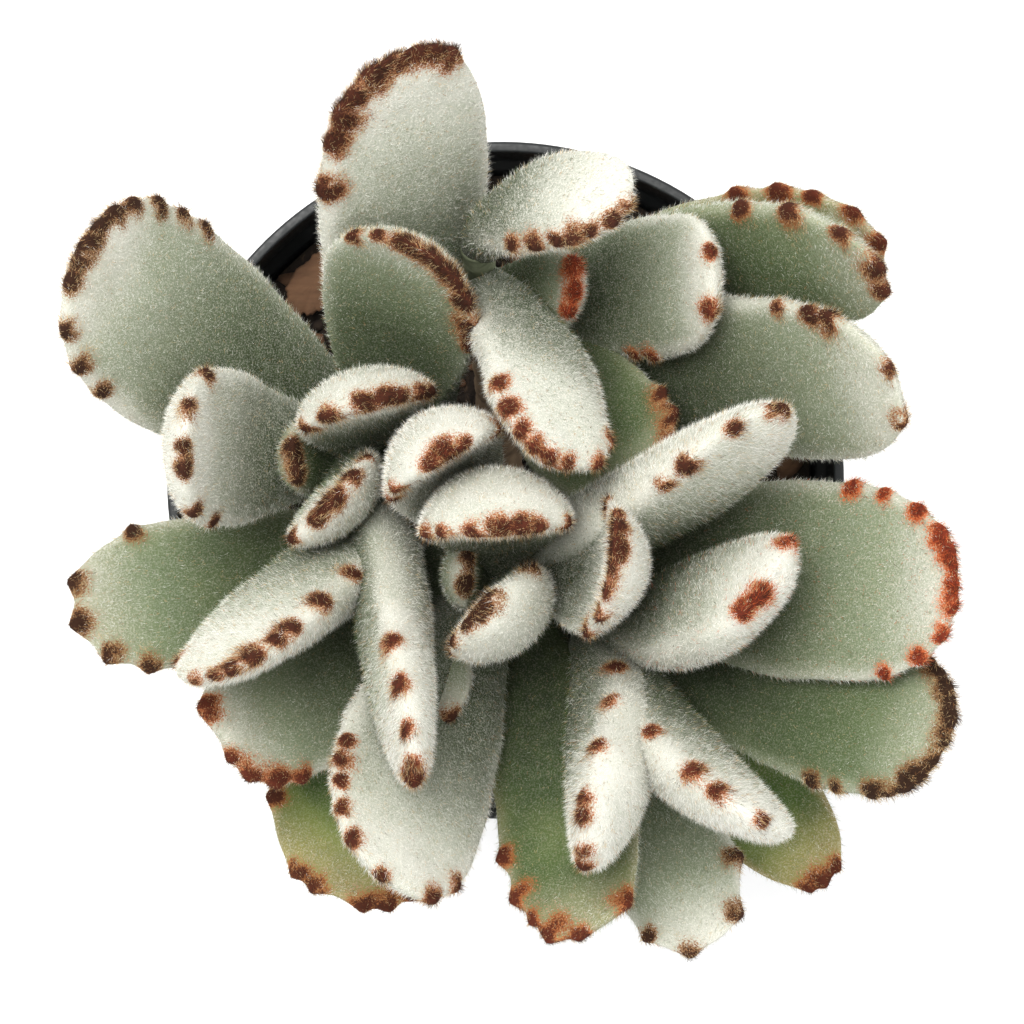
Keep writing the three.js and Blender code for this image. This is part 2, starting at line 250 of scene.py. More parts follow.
# %% [markdown]
# Long straight stretches of the outline get extra points, so the wall can sway. Thin moulded plastic is
# never quite round: a slow wave of a few hundredths of a millimetre bends its shine the way real ones do.

# %% Pot shape
POT_SIDES = 160
WALL_STEP = 3
COLLAR_SLOPE = 0.6
LIP_OUT = 0.1
LIP_BOTTOM = POT_HEIGHT - 1.2
collar_radius = RIM_RADIUS - LIP_OUT
inner_collar = RIM_RADIUS - WALL
outline = [
    (BASE_RADIUS - 6, 0, 0),
    (BASE_RADIUS, 0, 1.2),
    (SHOULDER_RADIUS, COLLAR_BOTTOM, 0.4),
    (collar_radius, COLLAR_BOTTOM + COLLAR_SLOPE, 0.3),
    (collar_radius, POT_HEIGHT - 1.6, 0.1),
    (RIM_RADIUS, LIP_BOTTOM, 0.1),
    (RIM_RADIUS, POT_HEIGHT, 0.45),
    (inner_collar - 0.3, POT_HEIGHT, 0.4),
    (inner_collar, POT_HEIGHT - 2.2, 0.1),
    (inner_collar, COLLAR_BOTTOM + WALL, 0.5),
    (SHOULDER_RADIUS - WALL, COLLAR_BOTTOM, 0.4),
    (wall_radius(FLOOR_THICKNESS) - WALL, FLOOR_THICKNESS, 0.8),
    (BASE_RADIUS - 8, FLOOR_THICKNESS, 0),
]
profile = rounded(outline)
wall_steps = []
for (x0, z0), (x1, z1) in zip(profile, profile[1:]):
    steps = max(1, int(math.hypot(x1 - x0, z1 - z0) / WALL_STEP))
    for k in range(steps):
        wall_steps.append((x0 + (x1 - x0) * k / steps, z0 + (z1 - z0) * k / steps))
wall_steps.append(profile[-1])
radii, heights = np.array(wall_steps).T
turns = np.linspace(0, 2 * np.pi, POT_SIDES, endpoint=False)
flow = 0.06 * np.sin(3 * turns + 0.4) + 0.04 * np.sin(7 * turns + 2.0)
wave = radii[:, None] + flow[None, :] * smooth_step(2, 60, heights)[:, None]
pot_z = np.repeat(heights[:, None], POT_SIDES, 1)
pot_points = np.stack([wave * np.cos(turns), wave * np.sin(turns), pot_z], axis=-1).reshape(-1, 3)
rows = len(wall_steps)
under = cap_fan(len(pot_points), 0, POT_SIDES, underside=True)
over = cap_fan(len(pot_points) + 1, (rows - 1) * POT_SIDES, POT_SIDES)
pot_points = np.vstack([pot_points, [[0, 0, 0], [0, 0, FLOOR_THICKNESS]]])
pot_mesh = make_mesh("pot", pot_points, [ring_quads(rows, POT_SIDES), under, over])
print("pot outline points", rows)

# %% [markdown]
# Black plastic looks nearly black face on and grey where it catches the light. Fine scuffs change how
# sharply it shines, and hard water leaves a faint pale film. A flat black would look like a hole, so one
# fine noise drives the shine and the bump, and a wide one drives the film.

# %% Pot finish
plastic = Finish("black_plastic")
scuff = plastic.noise(0.6, 6.0, (1, 1, 0.25))
film = plastic.band(plastic.noise(7, 4.0), 0.52, 0.8)
dark = plastic.mix(plastic.math("MULTIPLY", film, 0.35), (0.012, 0.014, 0.015), (0.055, 0.062, 0.06))
plastic.bump(scuff, 0.05, 0.4)
plastic_black = plastic.done(dark, plastic.band(scuff, 0.3, 0.7, 0.36, 0.52))
print("finish", plastic_black.name)

# %% [markdown]
# Spare water drains through a ring of round holes in the floor. Holes could be left in the rows of points,
# but the floor is a fan of long triangles, so each hole is cut with a Boolean modifier instead. The cut mesh
# takes the old one's place at once, and no modifier or cutter is left behind.

# %% Drainage holes
HOLE_COUNT = 8
HOLE_RADIUS = 3.5
HOLE_RING = BASE_RADIUS * 0.68
CUTTER_LENGTH = 20
pot = add_piece("pot_shell", pot_mesh, [plastic_black], ["pot"])
for k in range(HOLE_COUNT):
    turn = 2 * math.pi * (k + 0.5) / HOLE_COUNT
    bpy.ops.mesh.primitive_cylinder_add(vertices=40, radius=HOLE_RADIUS * MM, depth=CUTTER_LENGTH * MM)
    cutter = bpy.context.object
    cutter.location = (HOLE_RING * math.cos(turn) * MM, HOLE_RING * math.sin(turn) * MM, 0)
    cut = pot.modifiers.new("hole", "BOOLEAN")
    cut.operation = "DIFFERENCE"
    cut.solver = "EXACT"
    cut.object = cutter
    bpy.context.view_layer.update()
    cut_mesh = bpy.data.meshes.new_from_object(pot.evaluated_get(bpy.context.evaluated_depsgraph_get()))
    pot.modifiers.clear()
    pot.data = cut_mesh
    bpy.data.objects.remove(cutter)
pot.data.shade_smooth()
print("pot faces", len(pot.data.polygons))

# %% [markdown]
# ## The soil
# Potting mix is crumbs of peat and fine bark. The bed is one closed lump with a rough top, a little higher
# in the middle. A displaced plane would leave it hollow, so it is closed down to the pot's floor: rings of
# points over the top, then down the side.

# %% Soil bed
rng = np.random.default_rng(7)
SOIL_GAP = 0.6
SOIL_RADIUS = wall_radius(SOIL_TOP) - WALL - SOIL_GAP
SOIL_BOTTOM = FLOOR_THICKNESS + 0.3
CROWN = 1.2
EDGE_DROP = 0.9
SETTLED = 0.25
GRAIN = 0.13
SOIL_RINGS = 90
SOIL_SIDES = 200
SIDE_RINGS = 14


def soil_height(x, y):
    share = np.hypot(x, y) / SOIL_RADIUS
    lumps = 0.35 * np.sin(x * 0.9 + 1.1) * np.sin(y * 0.8 + 0.3)
    lumps = lumps + 0.25 * np.sin(x * 1.9) * np.sin(y * 2.1 + 2)
    return SOIL_TOP + CROWN * (1 - share ** 2) - EDGE_DROP * share ** 4 + lumps * (1 - share ** 6) - SETTLED


angles = np.linspace(0, 2 * np.pi, SOIL_SIDES, endpoint=False)
top_radii = SOIL_RADIUS * np.linspace(0.012, 1, SOIL_RINGS)
bed_x = top_radii[:, None] * np.cos(angles)
bed_y = top_radii[:, None] * np.sin(angles)
bed_z = soil_height(bed_x, bed_y) + rng.normal(0, GRAIN, bed_x.shape)
side_z = np.linspace(SOIL_TOP - 3, SOIL_BOTTOM, SIDE_RINGS)
side_r = np.array([wall_radius(z) - WALL - SOIL_GAP for z in side_z])
side_x = side_r[:, None] * np.cos(angles)
side_y = side_r[:, None] * np.sin(angles)
bed = np.concatenate([
    np.stack([bed_x, bed_y, bed_z], -1).reshape(-1, 3),
    np.stack([side_x, side_y, np.repeat(side_z[:, None], SOIL_SIDES, 1)], -1).reshape(-1, 3),
    [[0, 0, soil_height(0, 0)], [0, 0, SOIL_BOTTOM]],
])
bed_rows = SOIL_RINGS + SIDE_RINGS
top_fan = cap_fan(len(bed) - 2, 0, SOIL_SIDES)
low_fan = cap_fan(len(bed) - 1, (bed_rows - 1) * SOIL_SIDES, SOIL_SIDES, underside=True)
bed_quads = ring_quads(bed_rows, SOIL_SIDES)[:, ::-1]
soil_mesh = make_mesh("soil_bed", bed, [bed_quads, top_fan, low_fan])
print("soil points", len(bed))

# %% [markdown]
# Moist peat is nearly black with paler brown fibres. One noise makes the crumbs, light and dark, and drives
# the bump, and a second one, stretched and cut off sharply, lays the fibres over them.

# %% Soil finish
peat = Finish("peat")
crumb = peat.noise(1.1, 6.0)
fibre = peat.band(peat.noise(0.5, 5.0, (1, 0.3, 1)), 0.55, 0.72)
earth = peat.mix(crumb, (0.008, 0.006, 0.005), (0.045, 0.03, 0.02))
earth = peat.mix(peat.math("MULTIPLY", fibre, 0.5), earth, (0.11, 0.07, 0.04))
peat.bump(crumb, 0.5, 0.8)
peat_dark = peat.done(earth, 0.95)
add_piece("soil_bed", soil_mesh, [peat_dark], ["soil"])
print("finish", peat_dark.name)

# %% [markdown]
# Loose crumbs and small bark bits lie all over the bed. A particle system could scatter them, but a loop
# that joins them into one mesh is easier to control and to hand on. Each crumb is a rough pebble of thirty
# points, and about one in six is a longer, flatter bit of bark. None reaches through the pot's wall.

# %% Loose crumbs
PEBBLE_RINGS = 4
PEBBLE_SIDES = 7
ANY_TURN = 6.28


def pebble(radius, local, long, flat):
    # Two poles and four rings of seven points, each pushed in or out a little.
    rings, sides = PEBBLE_RINGS, PEBBLE_SIDES
    points = [[0, 0, -1.0]]
    for i in range(rings):
        lift = -0.75 + 1.5 * i / (rings - 1)
        spread = math.sqrt(max(0.05, 1 - lift * lift))
        for j in range(sides):
            turn = 2 * math.pi * (j + 0.5 * (i % 2)) / sides
            push = 1 + local.uniform(-0.25, 0.25)
            points.append([spread * math.cos(turn) * push, spread * math.sin(turn) * push, lift * push])
    points.append([0, 0, 1.0])
    shape = np.array(points) * radius * np.array([long, 1.0, flat])
    spin = Matrix.Rotation(local.uniform(0, ANY_TURN), 3, "Z")
    tilt = Matrix.Rotation(local.uniform(-0.5, 0.5), 3, "X")
    shape = shape @ np.array(spin @ tilt).T
    faces = []
    for j in range(sides):
        n = (j + 1) % sides
        faces.append([0, 1 + n, 1 + j])
        for i in range(rings - 1):
            a, b = 1 + i * sides, 1 + (i + 1) * sides
            faces.append([a + j, a + n, b + n])
            faces.append([a + j, b + n, b + j])
        top = 1 + (rings - 1) * sides
        faces.append([top + j, top + n, len(points) - 1])
    return shape, np.array(faces)


CRUMBS = 1500
SMALLEST_CRUMB = 0.45
BARK_SHARE = 0.16
crumb_points, crumb_faces, crumb_kinds, used = [], [], [], 0
for k in range(CRUMBS):
    reach = SOIL_RADIUS * 0.975 * math.sqrt(rng.uniform(0, 1))
    turn = rng.uniform(0, 2 * math.pi)
    size = SMALLEST_CRUMB + 1.0 * rng.uniform(0, 1) ** 3
    is_bark = rng.uniform() < BARK_SHARE
    shape, faces = pebble(size, rng, 1.9 if is_bark else 1.15, 0.5 if is_bark else 0.8)
    x, y = reach * math.cos(turn), reach * math.sin(turn)
    rim_room = SOIL_RADIUS - size * 2.0
    if reach > rim_room:
        x, y = x * rim_room / reach, y * rim_room / reach
    shape = shape + np.array([x, y, float(soil_height(x, y)) + size * 0.25])
    crumb_points.append(shape)
    crumb_faces.append(faces + used)
    crumb_kinds.append(np.full(len(faces), 1 if is_bark else 0))
    used += len(shape)
crumb_slots = np.concatenate(crumb_kinds)
crumbs = make_mesh("soil_crumbs", np.vstack(crumb_points), [np.vstack(crumb_faces)], crumb_slots)
print("crumbs", CRUMBS, "faces", len(crumbs.polygons))

# %% [markdown]
# ## Bark chips
# Bark is tan inside with darker grain along its length. A wave texture would draw even bands, which bark
# lacks, so the grain is a noise stretched one way. The small bits among the crumbs wear the same finish.

# %% Bark finish and small bits
bark = Finish("bark")
grain = bark.noise(1.4, 5.0, (0.3, 1, 1))
tan = bark.mix(grain, (0.055, 0.028, 0.016), (0.24, 0.135, 0.075))
bark.bump(grain, 0.3, 0.7)
bark_tan = bark.done(tan, 0.9)
add_piece("soil_crumbs", crumbs, [peat_dark, bark_tan])
print("finish", bark_tan.name)

# %% [markdown]
# A few larger chips lie near the pot's wall. Bark splits into flat flakes, so each chip is a flat slab with
# rounded corners, ragged sides and ridges along the grain. A bevelled cube could do for its outline, but not
# for the ridges. A row says where a chip lies, how far in from the soil's edge, and its size.

# %% Chips
CHIP_SIZE = 9
CHIP_THICK = CHIP_SIZE * 0.32
CHIP_SIDES = 72
CHIP_LAYERS = 17
CHIP_LIFT = 0.45
# name, bearing, inset, skew, share of the size along and across
CHIP_ROWS = [
    ("bark_chip_1", 134, 4.5, 8, 1.1, 0.65),
    ("bark_chip_2", 149, 9.5, -6, 0.9, 0.6),
    ("bark_chip_3", 62, 6, 12, 0.9, 0.8),
    ("bark_chip_4", -47, 6.5, -10, 1.1, 0.7),
]


def chip_points(bearing, long, wide):
    across = np.linspace(0, 2 * np.pi, CHIP_SIDES, endpoint=False)
    ragged = 1 + 0.05 * np.sin(5 * across + bearing) + 0.04 * np.sin(11 * across)
    ragged = ragged + 0.03 * np.sin(23 * across)
    shape = []
    for level in np.linspace(-1, 1, CHIP_LAYERS):
        spread = (1 - abs(level) ** 5) ** 0.5 * 0.97 + 0.02
        x = long * spread * ragged * np.sign(np.cos(across)) * np.abs(np.cos(across)) ** 0.8
        y = wide * spread * ragged * np.sign(np.sin(across)) * np.abs(np.sin(across)) ** 0.8
        ridge = 0.10 * np.sin(y * 6.5 + bearing) * (1 - abs(level)) + 0.12 * np.sin(y * 4.1) * level
        shape.append(np.stack([x, y, CHIP_THICK * (0.5 + 0.45 * level) + ridge], -1))
    middles = np.array([[0, 0, CHIP_THICK * 0.04], [0, 0, CHIP_THICK * 0.96]])
    return np.concatenate(shape + [middles])


for name, bearing, inset, skew, long_share, wide_share in CHIP_ROWS:
    points = chip_points(bearing, CHIP_SIZE * long_share / 2, CHIP_SIZE * wide_share / 2)
    bottom = cap_fan(len(points) - 2, 0, CHIP_SIDES, underside=True)
    top = cap_fan(len(points) - 1, (CHIP_LAYERS - 1) * CHIP_SIDES, CHIP_SIDES)
    radius = SOIL_RADIUS - inset
    turn = Matrix.Rotation(math.radians(bearing + 90 + skew), 3, "Z")
    centre_x = radius * math.cos(math.radians(bearing))
    centre_y = radius * math.sin(math.radians(bearing))
    points = points @ np.array(turn).T + np.array([centre_x, centre_y, SOIL_TOP + CHIP_LIFT])
    chip = make_mesh(name, points, [ring_quads(CHIP_LAYERS, CHIP_SIDES), bottom, top])
    add_piece(name + "_bark", chip, [bark_tan], [name])
print("chips", len(CHIP_ROWS))

# %% [markdown]
# ## The stem
# The stem is woody and brown where old leaves have dropped, and green-grey where it is young. Four shoots
# leave one buried trunk. Dropped leaves leave raised ringed scars, so the shoots are knobbly. A bevelled
# curve would be a smooth pipe. Rows of points round a smoothed line can swell at each scar and knob.

# %% Shoots
SHOOTS = {
    "middle": [(0, -6, -8), (0, -9, 17), (-0.5, -11.5, 32), (-0.5, -12, 46)],
    "north": [(0, -4, -4), (-1.5, 14, 17), (-2.5, 21, 27), (-3, 25, 36), (-3.5, 29, 46)],
    "west": [(0, -5, -2), (-9, 0, 18), (-16, 2.5, 28), (-19.5, 3, 37)],
    "east": [(0, -7, 0), (6, -14, 20), (11, -19, 32), (11.5, -19.5, 37)],
}
STEM_RADIUS = 3.2
STEM_TAPER = 0.62
STEM_SIDES = 40
RING_STEP = 0.45
SMOOTHINGS = 14
SCAR_SPACING = 3.6
KNOB_SPACING = 2.2


def shoot_point(name, rise):
    x, y, z = np.array(SHOOTS[name], dtype=float).T
    return np.array([np.interp(rise, z, x), np.interp(rise, z, y), SOIL_TOP + rise])


def shoot_mesh(points, start_radius, end_radius, seed):
    # A rod along the points with a scar ring every few millimetres and a rounded end.
    local = np.random.default_rng(seed)
    points = np.array(points, dtype=float)
    steps = np.linalg.norm(np.diff(points, axis=0), axis=1)
    reach = np.concatenate([[0], np.cumsum(steps)])
    count = int(reach[-1] / RING_STEP)
    marks = np.linspace(0, reach[-1], count)
    line = np.stack([np.interp(marks, reach, points[:, k]) for k in range(3)], -1)
    for _ in range(SMOOTHINGS):
        line[1:-1] = (line[:-2] + line[1:-1] * 2 + line[2:]) / 4
    along = unit(np.gradient(line, axis=0))
    side = unit(np.array([1.0, 0, 0]) - along * along[:, :1])
    up = np.cross(along, side)
    turn = np.linspace(0, 2 * np.pi, STEM_SIDES, endpoint=False)
    share = marks / reach[-1]
    base = start_radius + (end_radius - start_radius) * share
    scar = 0.10 * np.sin(marks * 2 * np.pi / SCAR_SPACING + 0.4) + 0.05 * np.sin(marks * 4.1)
    knobs = np.zeros((count, STEM_SIDES))
    for k in range(int(reach[-1] / KNOB_SPACING)):
        at, way = local.uniform(0.05, 0.98) * reach[-1], local.uniform(0, 2 * np.pi)
        off = np.angle(np.exp(1j * (turn - way)))
        knobs += 0.45 * np.exp(-((marks[:, None] - at) / 0.9) ** 2 - (off[None, :] / 0.45) ** 2)
    end = np.sqrt(np.clip(1 - smooth_step(0.96, 1.0, share) ** 2, 0.02, 1))
    radius = (base + scar)[:, None] * end[:, None] * 0.96 + knobs * 0.7
    outward = side[:, None] * np.cos(turn)[:, None] + up[:, None] * np.sin(turn)[:, None]
    ring = line[:, None] + radius[..., None] * outward
    cap = [line[0] - along[0] * 0.6, line[-1] + along[-1] * 0.5]
    shape = np.vstack([ring.reshape(-1, 3), cap])
    first = cap_fan(len(shape) - 2, 0, STEM_SIDES, underside=True)
    last = cap_fan(len(shape) - 1, (count - 1) * STEM_SIDES, STEM_SIDES)
    young = np.concatenate([np.repeat(share, STEM_SIDES), [0, 1]])
    return shape, [ring_quads(count, STEM_SIDES), first, last], young


print("shoots", len(SHOOTS))

# %% [markdown]
# Old stem is brown and corky, and young stem is grey-green. Two finishes would meet at a hard line, so there
# is one, and it fades from brown to green by how far along its shoot each point lies.

# %% Stem finish
wood = Finish("stem_wood")
rings = wood.noise(1.6, 5.0, (1, 1, 2.2))
old_wood = wood.mix(rings, (0.10, 0.065, 0.04), (0.34, 0.25, 0.16))
fresh = wood.mix(rings, (0.13, 0.16, 0.09), (0.36, 0.38, 0.27))
skin = wood.mix(wood.band(wood.value("young"), 0.45, 0.95), old_wood, fresh)
wood.bump(rings, 0.25, 0.6)
stem_brown = wood.done(skin, 0.85)
print("finish", stem_brown.name)

# %% [markdown]
# The trunk and the four shoots are rods whose ends sink into one another. A union would weld them, but the
# joints are hidden under the leaves, so the rods are simply joined into one mesh, as the stem is one piece.

# %% Stem shape
trunk = [(0.5, -4.5, SOIL_TOP - 24), (0.2, -5.2, SOIL_TOP - 12), (0, -6, SOIL_TOP)]
rods = [shoot_mesh(trunk, STEM_RADIUS * 1.1, STEM_RADIUS * 1.35, 20)]
for k, name in enumerate(SHOOTS):
    points = [(x, y, SOIL_TOP + rise) for x, y, rise in SHOOTS[name]]
    rods.append(shoot_mesh(points, STEM_RADIUS, STEM_RADIUS * STEM_TAPER, 21 + k))
all_points, all_quads, all_tris, all_young, used = [], [], [], [], 0
for points, (quads, first, last), young in rods:
    all_points.append(points)
    all_quads.append(quads + used)
    all_tris.extend([first + used, last + used])
    all_young.append(young)
    used += len(points)
stem_faces = [np.vstack(all_quads), np.vstack(all_tris)]
stem = make_mesh("stem", np.vstack(all_points), stem_faces, values={"young": np.concatenate(all_young)})
add_piece("stem_shoots", stem, [stem_brown], ["stem"])
print("stem points", used)

# %% [markdown]
# ## The leaves
# Each leaf is a thick paddle: narrow at its foot, widest two thirds of the way along, blunt at the tip. A
# young leaf stands up and is nearly white with felt. An old one lies lower and its green shows through.
# One leaf copied many times would look stamped out, so each has its own row: where it grows on its shoot,
# which way it points, its size, and how it rolls, bows, cups and twists. The last three are its looks.

# %% Leaf rows
# shoot, rise, heading, lift, length, width, thickness, roll, bow, cup, twist, paleness, age, warmth
# The paleness is also set lower on leaves that lie in shade, so part of it is painted shade.
LEAVES = {
    "middle_leaf_01": ("middle", 42, 94, 79, 30, 18, 8.5, 0, -4, 0.2, 0, 0.8, 0, 0.4),
    "middle_leaf_02": ("middle", 40, 10, 67, 34, 15.5, 6.5, -20, -5, 0.3, 0, 0.95, 0, 0.35),
    "middle_leaf_03": ("middle", 38, 114, 64, 35, 15.5, 8, 8, -7, 0.25, 0, 1.0, 0, 0.5),
    "middle_leaf_04": ("middle", 40, -120, 78, 24, 14, 7.5, 77, -3, 0.1, 0, 0.75, 0, 0.15),
    "middle_leaf_05": ("middle", 43, 176, 69, 11, 9, 5, 0, -2, 0.1, 0, 0.35, 0.1, 0.1),
    "north_leaf_01": ("north", 35, -67, 53, 42, 15.5, 9, -45, 3, -0.05, 0, 0.95, 0, 0.5),
    "north_leaf_02": ("north", 44, 12, 54, 31, 12.5, 7, -35, 4, -0.05, 0, 1.0, 0, 0.25),
    "north_leaf_03": ("north", 35, -10, 50, 18, 10, 5.5, 0, -2, 0.1, 0, 0.4, 0.1, 0.95),
    "west_leaf_01": ("west", 35, 60, 73, 24, 16.5, 7.5, 46, -2, 0.1, 0, 0.75, 0, 0.3),
    "west_leaf_02": ("west", 35, -115, 68, 23, 13.5, 6.5, 70, -1, 0.1, 0, 0.7, 0, 0.3),
    "west_leaf_03": ("west", 36, -175, 57, 12, 9, 5, 0, -2, 0.1, 0, 0.2, 0.3, 0.15),
    "east_leaf_01": ("east", 35, 22, 57, 40, 17, 10.5, -60, -1, 0, 0, 0.8, 0, 0.75),
    "middle_leaf_06": ("middle", 34, 31, 45, 52, 18, 9.5, 72, 3, 0.1, 0, 0.8, 0.05, 0.3),
    "east_leaf_02": ("east", 34, -47, 50, 45, 18, 9.5, -75, -2, 0, 0, 0.85, 0, 0.5),
    "east_leaf_03": ("east", 35, -95, 55, 41, 16, 11, 76, -2, 0, 40, 0.9, 0, 0.4),
    "west_leaf_04": ("west", 30, -80, 47, 54.5, 16, 9, 80, 1, 0, 0, 0.75, 0.05, 0.45),
    "west_leaf_05": ("west", 12, -142, 57, 65, 20, 9.5, 70, 2, 0, 0, 0.8, 0.05, 0.3),
    "west_leaf_06": ("west", 30, 79, 51, 40, 20, 7, -14, -4, 0.3, 0, 0.3, 0, 0.3),
    "west_leaf_07": ("west", 30, 177, 57, 38, 19, 8.5, 0, -6, 0.08, 0, 0.85, 0, 0.2),
    "north_leaf_04": ("north", 31, 2, 42, 37, 17.5, 7.5, 0, -6, 0, 0, 0.55, 0.05, 0.6),
    "middle_leaf_07": ("middle", 30, -110, 43, 52, 22.5, 8, -28, -3, 0, 0, 0.8, 0.05, 0.35),
    "middle_leaf_08": ("middle", 26, -3, 39, 67, 24, 7, 0, -5, 0.05, 0, 0.38, 0.1, 0.95),
    "north_leaf_05": ("north", 15, -3, 47, 69, 21.5, 8, 30, -4, 0.1, 0, 0.45, 0.1, 0.25),
    "east_leaf_04": ("east", 22, -20, 43, 64, 20.5, 7.5, -5, -5, 0.05, 0, 0.12, 0.1, 0.05),
    "west_leaf_08": ("west", 20, 91, 45, 67.5, 22.5, 8, 28, -2.5, 0, 0, 0.75, 0.0, 0.3),
    "west_leaf_09": ("west", 24, 146, 45, 60.5, 25, 8, 13, -6, 0, 0, 0.6, 0.1, 0.1),
    "north_leaf_06": ("north", 27, 3, 37, 58, 17, 7, 35, -7, 0.12, 0, 0.15, 0.15, 0.3),
    "middle_leaf_09": ("middle", 24, -77, 35, 55, 17.5, 6.5, 12, -4, 0.15, 0, 0.05, 0.5, 0.5),
    "west_leaf_10": ("west", 26, -79, 35, 39, 12, 6, 0, -3, 0.1, 0, 0.45, 0.2, 0.2),
    "north_leaf_07": ("north", 29, -49, 35, 36, 18, 6, 0, -2, 0.15, 0, 0.1, 0.2, 0.3),
    "north_leaf_08": ("north", 22, 13, 28, 55, 18, 6, 30, -7, 0.12, 0, 0.3, 0.7, 0.5),
    "east_leaf_05": ("east", 21, -67, 26, 52, 16.5, 6, 0, -3, 0.1, 0, 0.5, 0.05, 0.1),
    "middle_leaf_10": ("middle", 24, -147, 33, 48, 20, 6.5, 0, -3, 0.05, 0, 0.4, 0.15, 0.5),
    "middle_leaf_11": ("middle", 20, -173, 21, 57, 19, 6, 0, -3, 0.05, 0, 0.3, 0.25, 0.1),
    "east_leaf_06": ("east", 18, -46, 17, 53, 15, 5.5, 0, -3, 0.1, 0, 0.05, 1.0, 0.4),
    "middle_leaf_12": ("middle", 19, -118, 21, 51, 25, 6, 0, -3, 0.15, 0, 0.0, 0.9, 0.3),
}

# %% [markdown]
# The teeth sit on the leaf's edge, closest together at the tip, where they often join into one brown band.
# A painted mask would need an image, so each tooth is a place on the edge. A number is its distance in
# millimetres from the tip along the edge: negative on the leaf's left edge, positive on its right. A pair of
# numbers is a band that runs from one to the other, and a third number makes the band larger than most.

# %% Teeth
TEETH = {
    "middle_leaf_01": [-10, -6.5, (-3, 3), 5, 10],
    "middle_leaf_02": [-13, (-6, 1), 4, 8, 14],
    "middle_leaf_03": [(-1.8, 1.8, 1.3), 11, -9, -14],
    "middle_leaf_04": [-10, (-2, 2), 5, 8],
    "middle_leaf_05": [(-1.5, 1.5)],
    "north_leaf_01": [14, 10, (2, 6.5), 0, -5, -9],
    "north_leaf_02": [18, 14.5, 11, (4, 9), 1],
    "north_leaf_03": [(-3, 2.5)],
    "west_leaf_01": [-11, -6, (-1, 3), 6, 8],
    "west_leaf_02": [5, 0, (-3.5, -2), -7, -12],
    "west_leaf_03": [(-2, 1)],
    "east_leaf_01": [(3.5, 6.5), -5],
    "middle_leaf_06": [(-1, 1), -6, -13, -17],
    "east_leaf_02": [21, 12, 8, 2],
    "east_leaf_03": [-31, -22, -13, (-6.5, -4), 0.5, 3],
    "west_leaf_04": [-17, -11, -5.5, (-1, 1)],
    "west_leaf_05": [11, 2, (-6, -1), (-12, -10), -18, -26],
    "west_leaf_06": [-6.5, -3, (0, 1, 1.1), (4, 8, 1.25), (11, 12, 1.2), (15.5, 16.5, 1.15), 20],
    "west_leaf_07": [12, 4.5, (-3, -0.5), -10, -16],
    "north_leaf_04": [-3, 4, 19, 22],
    "middle_leaf_07": [20, 17, 14, 10.5, 6.5, 1, -7, -12],
    "middle_leaf_08": [-22, -17, -11.5, (-7, 1.5), 5.5, 10, 15.5],
    "north_leaf_05": [-33, -21, (-16, -13), -3, 4],
    "east_leaf_04": [(-12, -7), (-5, 12), 18, 22],
    "west_leaf_08": [(-21, -20.5, 1.1), (-15, -14, 1.2), (-10.5, -5, 1.3), (-3.5, 6, 1.15)],
    "west_leaf_09": [(-3.5, 1.5, 1.35), (4, 10), 15, 20, 24.5, -9.5, -15, -20.5],
    "north_leaf_06": [-22, -14.5, -7, (-1.5, 2)],
    "middle_leaf_09": [18, 12, 8, (1, 4.5), -6],
    "west_leaf_10": [-2],
    "north_leaf_07": [-13, -9.5, -6, -3, (3, 5)],
    "north_leaf_08": [-21, -15, -10.5, -5, 0],
    "east_leaf_05": [-13, -6, 2, 8],
    "middle_leaf_10": [4.5, -2, -5, -8.5, -12],
    "middle_leaf_11": [13, 3, -2, -8, -13],
    "east_leaf_06": [(-1, 3)],
    "middle_leaf_12": [14, (1, 4), -5, -8, -11.5],
}
print("leaves", len(LEAVES), "teeth entries", sum(len(v) for v in TEETH.values()))

# %% [markdown]
# The paddle is drawn as slices across a bowed spine. The slice is flatter on top than below, and cupping
# lifts its edges. Width and thickness shares say how each slice compares with the widest one. Sculpting
# would suit one leaf, but a formula gives all of them, and it also says where a tooth's place on the edge is.

# %% Leaf surface
WIDEST_AT = 0.66
FOOT_WIDTH = 0.3
TIP_POWER = 2.5
TOP_SHARE = 0.8
UNDER_SHARE = 1.2


def width_share(s):
    lower = FOOT_WIDTH + (1 - FOOT_WIDTH) * np.sin(np.pi / 2 * np.clip(s / WIDEST_AT, 0, 1)) ** 1.3
    upper = (1 - np.clip((s - WIDEST_AT) / (1 - WIDEST_AT), 0, 1) ** TIP_POWER) ** (1 / TIP_POWER)
    return np.where(s < WIDEST_AT, lower, upper)


def thickness_share(s):
    body = 0.72 + 0.28 * np.sin(np.pi * np.clip(s / 0.9, 0, 1))
    return body * np.sqrt(1 - np.clip(s, 0, 1) ** 10)


